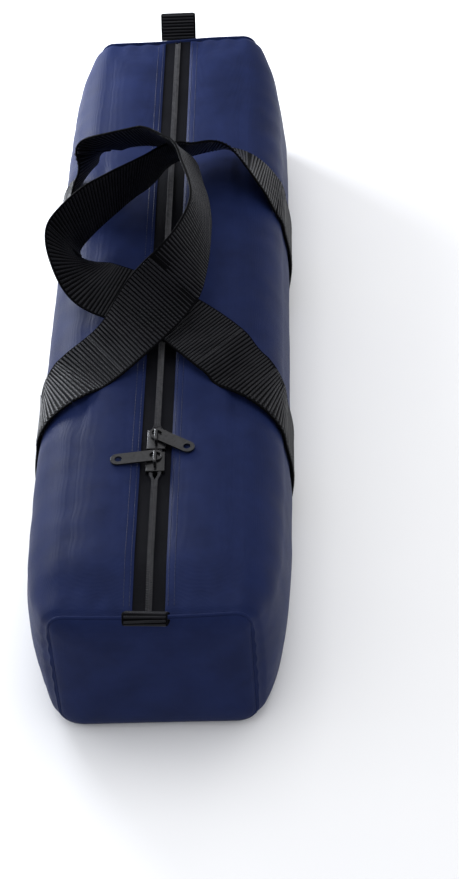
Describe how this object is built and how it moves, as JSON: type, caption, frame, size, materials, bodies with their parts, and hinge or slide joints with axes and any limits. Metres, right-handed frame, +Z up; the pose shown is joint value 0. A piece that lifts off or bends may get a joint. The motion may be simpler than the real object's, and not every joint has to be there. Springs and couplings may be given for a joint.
{
  "type": "telescope carry case",
  "caption": "Long padded cloth carry case with a full-length two-way zip in its top and two webbing carry handles.",
  "frame": {"origin": "middle of the base, on the surface the case rests on", "axes": "+Y along the case towards its far end, +Z up out of the zipped top, X across"},
  "size_m": [0.1976, 0.7556, 0.2082],
  "materials": {
    "navy_cloth": "smooth tight weave with a soft blue sheen",
    "foam": "closed-cell foam sheet",
    "lining": "thin plain lining cloth",
    "webbing": "black ribbed polypropylene webbing",
    "zip_tape": "woven black zip tape",
    "zip_coil": "grey nylon coil",
    "slider_metal": "black lacquered zinc, worn bright at the edges"
  },
  "bodies": {
    "case": {"base_cloth": "navy_cloth", "base_foam": "foam", "left_side_cloth": "navy_cloth", "left_side_foam": "foam", "right_side_cloth": "navy_cloth", "right_side_foam": "foam", "body_lining": "lining", "near_end_cloth": "navy_cloth", "near_end_foam": "foam", "near_end_lining": "lining", "far_end_cloth": "navy_cloth", "far_end_foam": "foam", "far_end_lining": "lining", "near_seam_binding": "zip_tape", "far_seam_binding": "zip_tape", "near_girth_strap": "webbing", "far_girth_strap": "webbing", "near_end_tab": "webbing", "far_end_tab": "webbing"},
    "left_lid": {"left_lid_cloth": "navy_cloth", "left_lid_foam": "foam", "left_lid_lining": "lining", "left_zip_tape": "zip_tape", "left_zip_coil": "zip_coil"},
    "right_lid": {"right_lid_cloth": "navy_cloth", "right_lid_foam": "foam", "right_lid_lining": "lining", "right_zip_tape": "zip_tape", "right_zip_coil": "zip_coil"},
    "near_slider": {"near_slider_body": "slider_metal", "near_slider_crown": "slider_metal"},
    "near_pull": {"near_pull": "slider_metal"},
    "far_slider": {"far_slider_body": "slider_metal", "far_slider_crown": "slider_metal"},
    "far_pull": {"far_pull": "slider_metal"},
    "left_handle": {"left_handle": "webbing"},
    "right_handle": {"right_handle": "webbing"}
  },
  "joints": [
    {"name": "left_lid_open", "type": "hinge", "parent": "case", "child": "left_lid", "pos_m": [-0.06, 0, 0.12], "axis": [0, -1, 0], "range_deg": [0, 105], "deforming": ["left_lid_cloth", "left_lid_foam", "left_lid_lining", "left_zip_tape", "left_zip_coil"]},
    {"name": "right_lid_open", "type": "hinge", "parent": "case", "child": "right_lid", "pos_m": [0.06, 0, 0.12], "axis": [0, 1, 0], "range_deg": [0, 105], "deforming": ["right_lid_cloth", "right_lid_foam", "right_lid_lining", "right_zip_tape", "right_zip_coil"]},
    {"name": "near_slider_run", "type": "slide", "parent": "case", "child": "near_slider", "axis": [0, -1, 0], "range_m": [0, 0.118]},
    {"name": "far_slider_run", "type": "slide", "parent": "case", "child": "far_slider", "axis": [0, 1, 0], "range_m": [0, 0.508]},
    {"name": "near_pull_swivel", "type": "hinge", "parent": "near_slider", "child": "near_pull", "pos_m": [0, -0.2016, 0.124], "axis": [0, 0, 1], "range_deg": [-38, 28]},
    {"name": "far_pull_swivel", "type": "hinge", "parent": "far_slider", "child": "far_pull", "pos_m": [0, -0.1781, 0.124], "axis": [0, 0, 1], "range_deg": [-6, 60]},
    {"name": "left_handle_swing", "type": "hinge", "parent": "left_lid", "child": "left_handle", "pos_m": [-0.06, 0, 0.12], "axis": [0, -1, 0], "range_deg": [0, 50], "deforming": ["left_handle"]},
    {"name": "right_handle_swing", "type": "hinge", "parent": "right_lid", "child": "right_handle", "pos_m": [0.06, 0, 0.12], "axis": [0, 1, 0], "range_deg": [0, 50], "deforming": ["right_handle"]}
  ],
  "couplings": [
    {"joint": "right_lid_open", "follows": "left_lid_open", "ratio": 1},
    {"joint": "near_slider_run", "follows": "left_lid_open", "m_per_rad": 0.0643},
    {"joint": "far_slider_run", "follows": "left_lid_open", "m_per_rad": 0.277}
  ]
}
